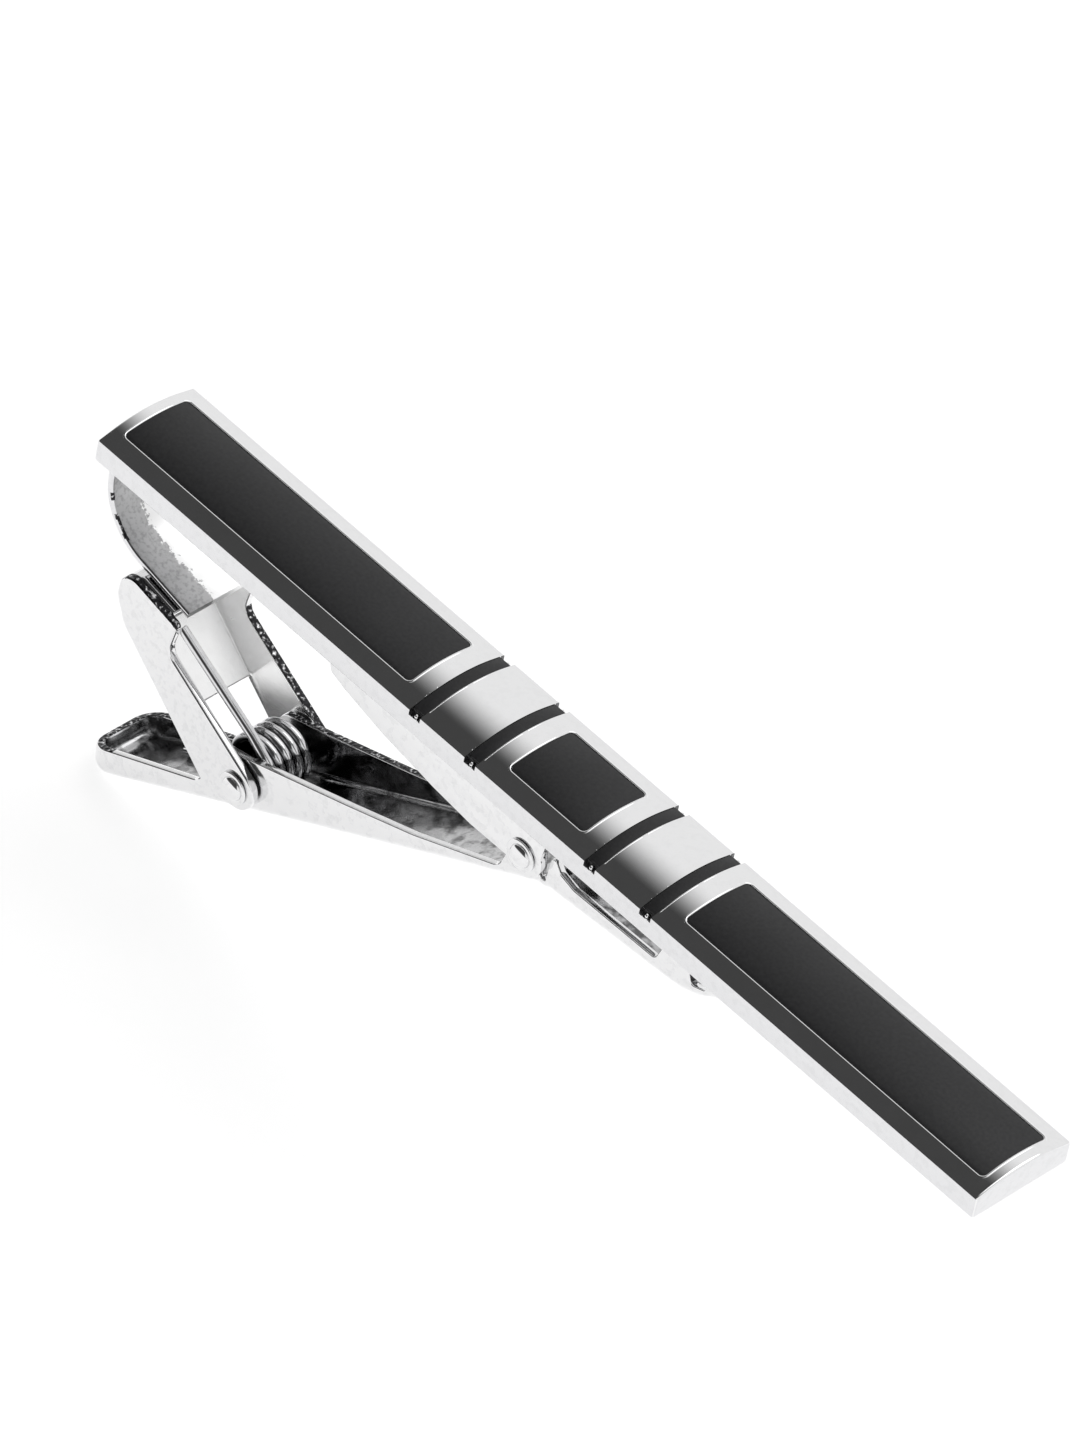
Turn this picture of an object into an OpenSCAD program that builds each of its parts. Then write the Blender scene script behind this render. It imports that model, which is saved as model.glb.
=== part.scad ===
// Tie clip with a spring-loaded pinch clasp.
// Frame: origin at the centre of the bar's flat back, +X along the bar towards the jaw,
// +Y across the bar, +Z out of the decorated face. Millimetres.

/* [Bar] */
// Length of the bar
bar_l = 58; // [58:0.5:62]
// Width of the bar
bar_w = 6; // [5.8:0.1:6.6]
// Height of the bar at the crest of its arched face
bar_h = 1.8; // [1.7:0.05:2.2]
// Radius of the arched face
arch_r = 9; // [8.5:0.5:12]

/* [Enamel] */
// Width of the three panels
panel_w = 4; // [3.4:0.1:4.2]
// Length of the centre panel
centre_panel_l = 4.9; // [3.5:0.1:5.2]
// Distance from the centre of the bar to the near end of each end panel
end_panel_start = 9.1; // [8.8:0.1:10]
// Plain metal left between an end panel and the end of the bar
end_margin = 0.7; // [0.6:0.05:1]
// Corner radius of the panels
panel_corner_r = 0.25; // [0.15:0.05:0.6]
// Width of each stripe
stripe_w = 0.7; // [0.5:0.05:0.8]
// Distance from the centre of the bar to each inner stripe
stripe_inner_x = 3.95; // [3.8:0.05:4.2]
// Distance from the centre of the bar to each outer stripe
stripe_outer_x = 7.6; // [7.2:0.05:7.8]
// Height of the pocket floor over the bar's back
pocket_floor_z = 1.2; // [1:0.05:1.3]

/* [Clasp] */
// Thickness of the bracket and of the lever
sheet = 0.4; // [0.35:0.05:0.45]
// Half the width of the lever across its walls
lever_half_w = 2.1; // [1.9:0.05:2.1]
// Half the width of the tongue
tongue_half_w = 1.95; // [1.6:0.05:2]
// Gap on each side between the lever and the plates outside it
side_gap = 0.1; // [0.05:0.01:0.12]
// Thickness of the brace
brace_sheet = 0.45; // [0.35:0.05:0.45]
// Radius of the main pivot pin
main_pin_r = 0.5; // [0.4:0.05:0.6]
// Radius of the brace pivot pin
brace_pin_r = 0.4; // [0.3:0.05:0.5]
// Running clearance round each pin
pin_gap = 0.05; // [0.03:0.01:0.08]

/* [Spring] */
// Radius of the spring wire
wire_r = 0.25; // [0.2:0.01:0.26]
// Radius of the coil at the middle of the wire
coil_r = 1.42; // [1.3:0.01:1.44]
// Whole turns between the two legs
coil_turns = 4; // [3:1:4]
// Step between one turn and the next
coil_pitch = 0.53; // [0.52:0.01:0.55]

/* [Hidden] */
$fn = 48;

bright_metal = [0.86, 0.87, 0.88];
enamel_black = [0.16, 0.16, 0.17];

// Half the width of the arch: past the panels it runs on into a flat flank on each side
crease_y = panel_w / 2 + 0.06;
flank_angle = 14;
shoulder_r = 0.12;
bottom_edge_r = 0.15;
enamel_gap = 0.01;
enamel_sink = 0.03;
end_panel_l = bar_l / 2 - end_margin - end_panel_start;
end_panel_x = end_panel_start + end_panel_l / 2;
// The stripes run down the flanks and stop short of the bar's sides, which leaves a small notch
stripe_half_l = bar_w / 2 - 0.28;

// Pivot axes, both along Y, as [x, z]
main_pivot = [-0.25, -1.85];
brace_pivot = [-17.4, -12];

// The clasp is as deep in Y as the plates outside the lever make it
plate_in_y = lever_half_w + side_gap;
ear_out_y = plate_in_y + sheet;
brace_out_y = plate_in_y + brace_sheet;
rivet_head_r = 0.85;
rivet_head_h = 0.36;
rivet_head_gap = 0.03;
// Each rivet is a close fit in the piece that carries it
rivet_fit = 0.01;

// Tongue: one big bend with its centre under the bar, then a straight tail
tongue_bend = [-25.3, -1.5];
tongue_bend_r = 3.6;
tongue_top_r = 0.9;
tongue_tail_angle = 258;
tongue_tail_l = 3.45;
bracket_end_x = 1;
// Straight and bent stretches of the tongue run this far into each other
join = 0.02;
ear_start_x = -13.5;
ear_ring_r = 1.2;

// Outlines in side view: [x, z, corner radius]
ear_outline = [
    [ear_start_x, 0, 0], [-13.2, -0.85, 0.3], [-12.2, -1.2, 0.6], [-9.5, -1.85, 6],
    [-6, -2.4, 6], [-3.5, -2.65, 2], [-1.25, -2.6, 0.5],
    [main_pivot[0] + 0.9, main_pivot[1], 0], [bracket_end_x, 0, 0]
];

// The lever's floor runs at this angle from the thumb tip to the bend under the main pivot
floor_angle = 30.1;
thumb_end_x = -27.05;
jaw_end_x = 12.95;
// The closed jaw's teeth stop just under the bar's back
jaw_top_z = -0.1;
lever_bottom = [
    [thumb_end_x, -19.56, 1], [0.68, -3.5, 0.5], [9.7, -2.74, 2.2], [jaw_end_x, -0.8, 0.3]
];
lever_rim = [
    [jaw_end_x, jaw_top_z, 0], [11.5, jaw_top_z, 0.15], [11.1, -1.3, 0.1],
    [10.3, -1.6, 0.2], [9.7, jaw_top_z, 0.15], [8.55, jaw_top_z, 0.15],
    [8, -1.85, 0.3], [2.7, -2, 0.5], [1.75, -1.75, 0.3], [1.3, -1.2, 0.1], [1.08, -1.3, 0.08],
    [1, -2.85, 0.1], [0.66, -2.85, 0.1], [0.5, -1.45, 0.15], [-1.05, -1.3, 0.2], [-1.8, -4.22, 0.8], [-7, -6.62, 8], [-11.1, -8.18, 6], [-17.2, -10.39, 0.6],
    [-18.9, -10.9, 0.7], [-20, -14.12, 1], [thumb_end_x, -17.63, 0]
];
lever_hollow = [
    [thumb_end_x + sheet, 5, 0], [thumb_end_x + sheet, -18.86, 0.6], [0.57, -3.04, 0.4],
    [9.3, -2.26, 2], [jaw_end_x - sheet, -0.5, 0.2], [jaw_end_x - sheet, 5, 0]
];
lug_r = 0.8;
thumb_tip_r = 1.2;
jaw_tip_r = 1;

brace_outline = [
    [-26.4, -5.08, 0.9], [-22.55, -5.89, 0.35], [-22.85, -7.7, 0.8], [-16.84, -10.94, 0],
    [brace_pivot[0], brace_pivot[1] - 1.2, 0], [-19.05, -13.5, 0.9],
    [-25.75, -8.2, 1.6], [-26.45, -6.8, 1]
];
brace_hollow = [
    [-26, -5.58, 0.5], [-23.25, -6.16, 0], [-23.1, -4, 0], [-14, -4, 0], [-14, -15.7, 0], [-18, -15.7, 0],
    [-22.3, -11.95, 0], [-21.65, -11.03, 0], [-25.42, -8.02, 1.2], [-26.02, -6.78, 0.6]
];
brace_end_r = 1.2;

// Spring: the coil sits off the pin, just clear of the lever's floor
coil_centre = brace_pivot + 0.42 * [-sin(floor_angle), cos(floor_angle)];
coil_first_y = -1.42;
upper_leg_angle = 147;
upper_leg_l = 7.2;
// Past this knee the upper leg leans out to the brace's near arm
leg_knee_l = 1.3;
leg_spread = 0.46;
lower_leg_l = 7.6;
wire_sides = 8;
steps_per_turn = 18;

function unit(v) = v / norm(v);
function flat(p) = [p[0], p[1]];

// Points along the rounding of corner b between a and c
function corner_arc(a, b, c, r, n) =
    let (u = unit(a - b), v = unit(c - b), half = acos(u * v) / 2)
    let (reach = r / tan(half), centre = b + unit(u + v) * r / sin(half))
    let (from = b + u * reach - centre, to = b + v * reach - centre)
    let (a0 = atan2(from[1], from[0]), turn = atan2(to[1], to[0]) - a0)
    let (sweep = turn > 180 ? turn - 360 : turn < -180 ? turn + 360 : turn)
    [for (i = [0:n]) centre + r * [cos(a0 + sweep * i / n), sin(a0 + sweep * i / n)]];

// A closed outline with each corner rounded to its own radius
function rounded(outline, n = 6) = let (count = len(outline)) [
    for (i = [0:count - 1])
        let (a = flat(outline[(i + count - 1) % count]), b = flat(outline[i]))
        let (c = flat(outline[(i + 1) % count]), r = outline[i][2])
        each (r > 0 ? corner_arc(a, b, c, r, n) : [b])
];

function arch_z(y) = bar_h - arch_r + sqrt(arch_r * arch_r - y * y);
function flank_z(y) = arch_z(crease_y) - (abs(y) - crease_y) * tan(flank_angle);
function mirrored(half) = concat(half, [for (i = [len(half) - 1:-1:0]) [-half[i][0], half[i][1]]]);

// Side view outline spread along Y between y0 and y1
module slab(y0, y1) {
    translate([0, y1, 0]) rotate([90, 0, 0]) linear_extrude(y1 - y0) children();
}

// Cross-section, drawn in Y and Z, spread along the bar between x0 and x1
module along_bar(x0, x1) {
    translate([x0, 0, 0]) rotate([90, 0, 90]) linear_extrude(x1 - x0) children();
}

module rounded_rect(l, w, r) {
    square([l - 2 * r, w], center = true);
    square([l, w - 2 * r], center = true);
    for (sx = [-1, 1], sy = [-1, 1]) {
        translate([sx * (l / 2 - r), sy * (w / 2 - r)]) circle(r);
    }
}

// The bar's cross-section: flat back, straight sides, small shoulders, flanks and an arched face
module bar_section() {
    turn = 90 - flank_angle;
    start_y = bar_w / 2 - shoulder_r * (1 - cos(turn));
    shoulder = [bar_w / 2 - shoulder_r, flank_z(start_y) - shoulder_r * sin(turn)];
    polygon(mirrored(concat(
        [[bar_w / 2 - bottom_edge_r, 0], [bar_w / 2, bottom_edge_r]],
        [for (i = [0:4]) shoulder + shoulder_r * [cos(turn * i / 4), sin(turn * i / 4)]],
        [for (i = [8:-1:0]) [crease_y * i / 8, arch_z(crease_y * i / 8)]]
    )));
}

// Section of an enamel fill: flat below, arched just under the metal above
module enamel_section(half_w) {
    polygon(concat(
        [[half_w, pocket_floor_z], [-half_w, pocket_floor_z]],
        [for (i = [-8:8]) [half_w * i / 8, arch_z(half_w * i / 8) - enamel_sink]]
    ));
}

module panel(x, l) {
    color(enamel_black) intersection() {
        along_bar(x - l / 2, x + l / 2) enamel_section(panel_w / 2);
        translate([x, 0, 0]) linear_extrude(bar_h) rounded_rect(l, panel_w, panel_corner_r);
    }
}

module panel_pocket(x, l) {
    grow = 2 * enamel_gap;
    translate([x, 0, pocket_floor_z]) {
        linear_extrude(bar_h) rounded_rect(l + grow, panel_w + grow, panel_corner_r + enamel_gap);
    }
}

module stripe(x) {
    color(enamel_black) {
        along_bar(x - stripe_w / 2, x + stripe_w / 2) {
            enamel_section(crease_y);
            for (side = [-1, 1]) {
                polygon([
                    [side * crease_y, pocket_floor_z],
                    [side * stripe_half_l, pocket_floor_z],
                    [side * stripe_half_l, flank_z(stripe_half_l) - enamel_sink],
                    [side * crease_y, arch_z(crease_y) - enamel_sink]
                ]);
            }
        }
    }
}

module stripe_pocket(x) {
    w = stripe_w + 2 * enamel_gap;
    translate([x - w / 2, -bar_w, pocket_floor_z]) cube([w, 2 * bar_w, bar_h]);
}

module bar() {
    color(bright_metal) difference() {
        along_bar(-bar_l / 2, bar_l / 2) bar_section();
        panel_pocket(0, centre_panel_l);
        for (side = [-1, 1]) {
            panel_pocket(side * end_panel_x, end_panel_l);
            stripe_pocket(side * stripe_inner_x);
            stripe_pocket(side * stripe_outer_x);
        }
    }
}

// Part of a ring between two angles, less than half a turn
module ring_sector(centre, r_out, thickness, a0, a1) {
    reach = 3 * r_out;
    translate(centre) intersection() {
        difference() {
            circle(r_out);
            circle(r_out - thickness);
        }
        polygon([[0, 0], for (a = [a0:(a1 - a0) / 4:a1 + 0.1]) reach * [cos(a), sin(a)]]);
    }
}

// Side view of the base sheet and the tongue that it bends down into
module tongue_profile() {
    end_x = tongue_bend[0] - tongue_bend_r;
    tail = [cos(tongue_tail_angle), sin(tongue_tail_angle)];
    ring_sector([end_x + tongue_top_r, -tongue_top_r], tongue_top_r, sheet, 90, 180);
    translate([end_x, tongue_bend[1] - join]) square([sheet, 2 * join - tongue_bend[1] - tongue_top_r]);
    ring_sector(tongue_bend, tongue_bend_r, sheet, 180, tongue_tail_angle);
    translate(tongue_bend + (tongue_bend_r - sheet) * tail) {
        rotate(tongue_tail_angle) translate([0, -join]) square([sheet, tongue_tail_l + join]);
    }
    translate([end_x + tongue_top_r - join, -sheet]) {
        square([bracket_end_x - end_x - tongue_top_r + join, sheet]);
    }
}

module clasp_bracket() {
    color(bright_metal) difference() {
        union() {
            slab(-tongue_half_w, tongue_half_w) tongue_profile();
            translate([ear_start_x, -ear_out_y, -sheet]) {
                cube([bracket_end_x - ear_start_x, 2 * ear_out_y, sheet]);
            }
            for (y = [-ear_out_y, plate_in_y]) slab(y, y + sheet) ear_profile();
        }
        pivot_bore(main_pivot, main_pin_r + rivet_fit);
    }
}

module ear_profile() {
    polygon(rounded(ear_outline));
    translate(main_pivot) circle(ear_ring_r);
}

// A round hole right through the clasp along Y
module pivot_bore(pivot, r) {
    slab(-bar_w, bar_w) translate(pivot) circle(r);
}

// Plan view of the lever, inset from its outer face
module lever_plan(inset) {
    back_x = thumb_end_x + inset;
    front_x = jaw_end_x - inset;
    half_w = lever_half_w - inset;
    tip_r = thumb_tip_r - inset;
    nose_r = jaw_tip_r - inset;
    translate([0, 0, -25]) linear_extrude(50) {
        polygon(rounded([
            [back_x, -half_w, tip_r], [front_x, -half_w, nose_r],
            [front_x, half_w, nose_r], [back_x, half_w, tip_r]
        ]));
    }
}

module clasp_lever() {
    color(bright_metal) difference() {
        intersection() {
            slab(-lever_half_w, lever_half_w) {
                polygon(rounded(concat(lever_bottom, lever_rim)));
                translate(main_pivot) circle(lug_r);
            }
            lever_plan(0);
        }
        intersection() {
            slab(-lever_half_w, lever_half_w) polygon(rounded(lever_hollow));
            lever_plan(sheet);
        }
        pivot_bore(main_pivot, main_pin_r + pin_gap);
        pivot_bore(brace_pivot, brace_pin_r + rivet_fit);
    }
}

module brace_side() {
    polygon(rounded(brace_outline));
    translate(brace_pivot) circle(brace_end_r);
}

module clasp_brace() {
    color(bright_metal) difference() {
        union() {
            for (y = [-brace_out_y, plate_in_y]) slab(y, y + brace_sheet) brace_side();
            slab(-brace_out_y, brace_out_y) difference() {
                polygon(rounded(brace_outline));
                polygon(rounded(brace_hollow));
            }
        }
        pivot_bore(brace_pivot, brace_pin_r + pin_gap);
    }
}

// Low dome of a rivet head, its flat side at z = 0
module rivet_head() {
    dome_r = (pow(rivet_head_r, 2) + pow(rivet_head_h, 2)) / (2 * rivet_head_h);
    rotate_extrude() intersection() {
        translate([0, rivet_head_h - dome_r]) circle(dome_r);
        square([rivet_head_r, rivet_head_h]);
    }
}

module rivet(pivot, r, plate_y) {
    head_y = plate_y + rivet_head_gap;
    color(bright_metal) translate([pivot[0], 0, pivot[1]]) {
        rotate([90, 0, 0]) cylinder(h = 2 * head_y, r = r, center = true);
        for (side = [-1, 1]) translate([0, side * head_y, 0]) rotate([side * -90, 0, 0]) rivet_head();
    }
}

// Middle of the wire on the coil at angle a, measured in side view, with turns already wound
function coil_point(a, turned) = [
    coil_centre[0] + coil_r * cos(a),
    coil_first_y + coil_pitch * turned / 360,
    coil_centre[1] + coil_r * sin(a)
];

// Route of the wire: upper leg, clockwise coil, lower leg along the lever's floor
first_a = upper_leg_angle - 90;
last_a = floor_angle - 90;
coil_sweep = 360 * coil_turns + first_a - last_a;
coil_steps = round(steps_per_turn * coil_sweep / 360);
step_a = coil_sweep / coil_steps;
coil_route = [for (i = [0:coil_steps]) coil_point(first_a - step_a * i, step_a * i)];
upper_knee = coil_route[0] + leg_knee_l * [cos(upper_leg_angle), 0, sin(upper_leg_angle)];
upper_end = upper_knee - [0, leg_spread, 0]
    + (upper_leg_l - leg_knee_l) * [cos(upper_leg_angle), 0, sin(upper_leg_angle)];
lower_end = coil_route[coil_steps] - lower_leg_l * [cos(floor_angle), 0, sin(floor_angle)];
wire_route = concat([upper_end, upper_knee], coil_route, [lower_end]);

// Ring of wire_sides points round the route at index i, square to it
function wire_ring(i) =
    let (last = len(wire_route) - 1)
    let (along = unit(wire_route[min(i + 1, last)] - wire_route[max(i - 1, 0)]))
    let (side = unit(cross(along, [0, 1, 0])), up = cross(side, along), step = 360 / wire_sides)
    [for (k = [0:wire_sides - 1]) wire_route[i] + wire_r * (cos(step * k) * side + sin(step * k) * up)];

module torsion_spring() {
    rings = len(wire_route);
    points = [for (i = [0:rings - 1]) each wire_ring(i)];
    walls = [
        for (i = [0:rings - 2], k = [0:wire_sides - 1])
            let (next = (k + 1) % wire_sides)
            [i * wire_sides + k, i * wire_sides + next, (i + 1) * wire_sides + next, (i + 1) * wire_sides + k]
    ];
    near_end = [for (k = [wire_sides - 1:-1:0]) k];
    far_end = [for (k = [0:wire_sides - 1]) (rings - 1) * wire_sides + k];
    color([0.7, 0.71, 0.73]) polyhedron(points, concat(walls, [near_end, far_end]));
}

module main_pivot_pin() { rivet(main_pivot, main_pin_r, ear_out_y); }
module brace_pivot_pin() { rivet(brace_pivot, brace_pin_r, brace_out_y); }
module enamel_panel_left() { panel(-end_panel_x, end_panel_l); }
module enamel_panel_centre() { panel(0, centre_panel_l); }
module enamel_panel_right() { panel(end_panel_x, end_panel_l); }
module enamel_stripe_outer_left() { stripe(-stripe_outer_x); }
module enamel_stripe_inner_left() { stripe(-stripe_inner_x); }
module enamel_stripe_inner_right() { stripe(stripe_inner_x); }
module enamel_stripe_outer_right() { stripe(stripe_outer_x); }

bar();
enamel_panel_left();
enamel_panel_centre();
enamel_panel_right();
enamel_stripe_outer_left();
enamel_stripe_inner_left();
enamel_stripe_inner_right();
enamel_stripe_outer_right();
clasp_bracket();
clasp_lever();
clasp_brace();
main_pivot_pin();
brace_pivot_pin();
torsion_spring();
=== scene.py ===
"""Tie clip: looks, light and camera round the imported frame. Blender 4.5, metres, row frame."""

import math

import bmesh
import bpy
import numpy as np
from mathutils import Matrix, Vector


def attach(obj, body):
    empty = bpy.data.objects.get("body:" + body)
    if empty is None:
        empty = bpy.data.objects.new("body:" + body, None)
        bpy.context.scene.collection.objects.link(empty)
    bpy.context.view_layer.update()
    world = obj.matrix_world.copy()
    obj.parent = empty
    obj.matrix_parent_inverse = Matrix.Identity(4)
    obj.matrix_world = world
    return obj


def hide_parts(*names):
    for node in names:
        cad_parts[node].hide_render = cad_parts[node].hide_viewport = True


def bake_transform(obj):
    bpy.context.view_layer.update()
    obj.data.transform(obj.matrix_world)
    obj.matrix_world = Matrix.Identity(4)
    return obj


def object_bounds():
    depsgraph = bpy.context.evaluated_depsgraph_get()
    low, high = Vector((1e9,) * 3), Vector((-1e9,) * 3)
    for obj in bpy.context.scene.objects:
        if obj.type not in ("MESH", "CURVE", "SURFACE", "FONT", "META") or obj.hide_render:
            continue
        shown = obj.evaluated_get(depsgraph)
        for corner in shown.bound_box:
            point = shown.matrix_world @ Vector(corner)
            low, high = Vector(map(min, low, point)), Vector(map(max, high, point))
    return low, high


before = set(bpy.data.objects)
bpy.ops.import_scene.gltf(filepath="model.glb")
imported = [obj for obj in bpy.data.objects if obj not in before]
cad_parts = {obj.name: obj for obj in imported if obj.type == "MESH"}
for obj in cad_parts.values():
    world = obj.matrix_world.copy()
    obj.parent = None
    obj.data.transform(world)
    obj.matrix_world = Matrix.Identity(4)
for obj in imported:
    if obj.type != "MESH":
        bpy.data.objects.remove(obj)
cad_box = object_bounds()

MM = 0.001

# ---------------------------------------------------------------- sizes, in millimetres

# Bar. Its crest is a little below the CAD's, which leaves room for the raised metal lines
BAR_L = 58.0
BAR_W = 6.0
BAR_H = 1.775
ARCH_R = 9.0
CREASE_Y = 2.06
FLANK_SLOPE = 0.2493
STRIPE_HALF_L = 2.72
POCKET_Z = 1.2
PANEL_W = 4.0
PANEL_CORNER_R = 0.25
PANELS = {"left": (-18.7, 19.2), "centre": (0.0, 4.9), "right": (18.7, 19.2)}
STRIPES = {"outer_left": -7.6, "inner_left": -3.95, "inner_right": 3.95, "outer_right": 7.6}
STRIPE_W = 0.7
ENAMEL_GAP = 0.01
PANEL_SINK = 0.025
STRIPE_SINK = 0.03
NOTCH_Z = 0.98
BACK_EDGE_R = 0.15
SHOULDER_R = 0.11
END_R = 0.14
# Tools that cut the bar reach past it to these sizes
CUT_Y = 4.0
CUT_Z = 3.0

# Raised metal on the bar: a bead round each panel, trim lines and a drop beside each stripe
BEAD_R = 0.07
BEAD_SINK = 0.03
BEAD_H = 0.055
BEAD_OUT = 0.09
BEAD_SIDES = 20
TRIM_R = 0.038
TRIM_SIDES = 12
PIP_R = 0.11
PIP_SHIFT_X = 0.03
PIP_IN_Y = 0.13
PIP_LIFT = 0.1

# Clasp
SHEET = 0.4
BRACE_SHEET = 0.45
LEVER_HALF_W = 2.1
PLATE_IN_Y = 2.2
EAR_OUT_Y = PLATE_IN_Y + SHEET
BRACE_OUT_Y = PLATE_IN_Y + BRACE_SHEET
TONGUE_HALF_W = 1.95
MAIN_PIVOT = (-0.25, -1.85)
BRACE_PIVOT = (-17.4, -12.0)
MAIN_PIN_R = 0.5
BRACE_PIN_R = 0.4
PIN_GAP = 0.05
PIN_FIT = 0.01
HEAD_R = 0.85
HEAD_H = 0.36
DOME_R = 0.6
HEAD_GAP = 0.03
RIVET_SIDES = 40
THUMB_X = -27.05
JAW_X = 12.95
JAW_TOP_Z = -0.1
THUMB_CORNER_R = 1.2
JAW_CORNER_R = 1.0
LUG_R = 0.8
FLOOR_T = 0.45
EDGE_R = 0.07
OUTER_BEND = 0.75
INNER_BEND = 0.35
PLATE_END_R = 1.2
BRACE_EDGE_R = 0.1
TONGUE_EDGE_R = 0.14
TONGUE_BEND = (-25.3, -1.5)
TONGUE_R = 3.6
TONGUE_TOP_R = 0.9
TONGUE_TAIL_ANGLE = 258
TONGUE_TAIL_L = 3.45
BASE_START_X = -13.3

# Spring. The coil sits off the rivet, just clear of the lever's floor
WIRE_R = 0.25
WIRE_SIDES = 16
COIL_R = 1.42
COIL_PITCH = 0.53
COIL_TURNS = 4
COIL_STEPS = 220
COIL_FIRST_Y = -1.42
COIL_OFFSET = 0.42
FLOOR_ANGLE = math.radians(30.1)
UPPER_LEG = math.radians(147)
UPPER_LEG_L = 7.2
LOWER_LEG_L = 7.6
LEG_KNEE = 1.3
LEG_SPREAD = 0.46
COIL_CENTRE = (
    BRACE_PIVOT[0] - COIL_OFFSET * math.sin(FLOOR_ANGLE),
    BRACE_PIVOT[1] + COIL_OFFSET * math.cos(FLOOR_ANGLE),
)


def plate_end(pivot, degrees):
    """Round end of a plate about its pivot, as outline points without corner rounding."""
    angles = [math.radians(a) for a in degrees]
    return [
        (pivot[0] + PLATE_END_R * math.cos(a), pivot[1] + PLATE_END_R * math.sin(a), 0) for a in angles
    ]


# Outlines in side view: (x, z, corner radius)
EAR_OUTLINE = [
    (-13.5, 0, 0), (-13.2, -0.85, 0.3), (-12.2, -1.2, 0.6), (-9.5, -1.85, 6), (-6, -2.4, 6), (-3.5, -2.65, 2),
    *plate_end(MAIN_PIVOT, range(220, 393, 8)), (1, 0, 0),
]
LEVER_RIM = [
    (JAW_X, JAW_TOP_Z, 0), (11.5, JAW_TOP_Z, 0.15), (11.1, -1.3, 0.1), (10.3, -1.6, 0.2),
    (9.7, JAW_TOP_Z, 0.15), (8.55, JAW_TOP_Z, 0.15), (8.0, -1.85, 0.3), (2.7, -2.0, 0.5), (1.75, -1.75, 0.3),
    (1.3, -1.2, 0.1), (1.08, -1.3, 0.08), (1.0, -2.85, 0.1), (0.66, -2.85, 0.1), (0.5, -1.45, 0.15),
    (-1.05, -1.3, 0.2), (-1.8, -4.22, 0.8), (-7, -6.62, 8), (-11.1, -8.18, 6), (-17.2, -10.39, 0.6),
    (-18.9, -10.9, 0.7), (-20, -14.12, 1), (THUMB_X, -17.63, 0),
]
# Underside of the lever, from the turned-up thumb end to the jaw: (x, z)
LEVER_UNDERSIDE = [
    (THUMB_X, -18.55), (-26.8, -18.69), (-26.4, -18.79), (-26.0, -18.8), (-25.55, -18.69),
    (0.0, -3.893), (0.4, -3.67), (0.75, -3.53), (1.3, -3.44), (9.0, -2.78), (9.8, -2.64), (10.5, -2.32),
    (JAW_X + 1, -0.2),
]
BRACE_OUTLINE = [
    (-26.4, -5.08, 0.9), (-22.55, -5.89, 0.35), (-22.85, -7.7, 0.8),
    *plate_end(BRACE_PIVOT, range(62, -91, -8)),
    (-19.05, -13.5, 0.9), (-25.75, -8.2, 1.6), (-26.45, -6.8, 1),
]
BRACE_HOLLOW = [
    (-26, -5.58, 0.5), (-23.25, -6.16, 0), (-23.1, -4, 0), (-14, -4, 0), (-14, -15.7, 0), (-18, -15.7, 0),
    (-22.3, -11.95, 0), (-21.65, -11.03, 0), (-25.42, -8.02, 1.2), (-26.02, -6.78, 0.6),
]


def rounded(outline, n=10):
    """The outline with each corner rounded to its own radius, as a list of (x, z)."""
    pts = []
    count = len(outline)
    for i, (x, z, r) in enumerate(outline):
        b = np.array([x, z], float)
        if r <= 0:
            pts.append(b)
            continue
        a = np.array(outline[i - 1][:2], float)
        c = np.array(outline[(i + 1) % count][:2], float)
        u = (a - b) / np.linalg.norm(a - b)
        v = (c - b) / np.linalg.norm(c - b)
        half = math.acos(np.clip(u @ v, -1, 1)) / 2
        reach = r / math.tan(half)
        w = (u + v) / np.linalg.norm(u + v)
        centre = b + w * r / math.sin(half)
        p0, p1 = b + u * reach - centre, b + v * reach - centre
        a0 = math.atan2(p0[1], p0[0])
        turn = (math.atan2(p1[1], p1[0]) - a0 + math.pi) % (2 * math.pi) - math.pi
        for k in range(n + 1):
            t = a0 + turn * k / n
            pts.append(centre + r * np.array([math.cos(t), math.sin(t)]))
    return pts


# ---------------------------------------------------------------- materials


def principled(name):
    mat = bpy.data.materials.new(name)
    mat.use_nodes = True
    tree = mat.node_tree
    return mat, tree, tree.nodes["Principled BSDF"]


def node(tree, kind, **values):
    made = tree.nodes.new(kind)
    for key, value in values.items():
        if key in made.inputs:
            made.inputs[key].default_value = value
        else:
            setattr(made, key, value)
    return made


def ramp(tree, source, low, high, out_low, out_high):
    r = node(tree, "ShaderNodeMapRange")
    r.inputs["From Min"].default_value = low
    r.inputs["From Max"].default_value = high
    r.inputs["To Min"].default_value = out_low
    r.inputs["To Max"].default_value = out_high
    tree.links.new(source, r.inputs["Value"])
    return r.outputs["Result"]


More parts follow.
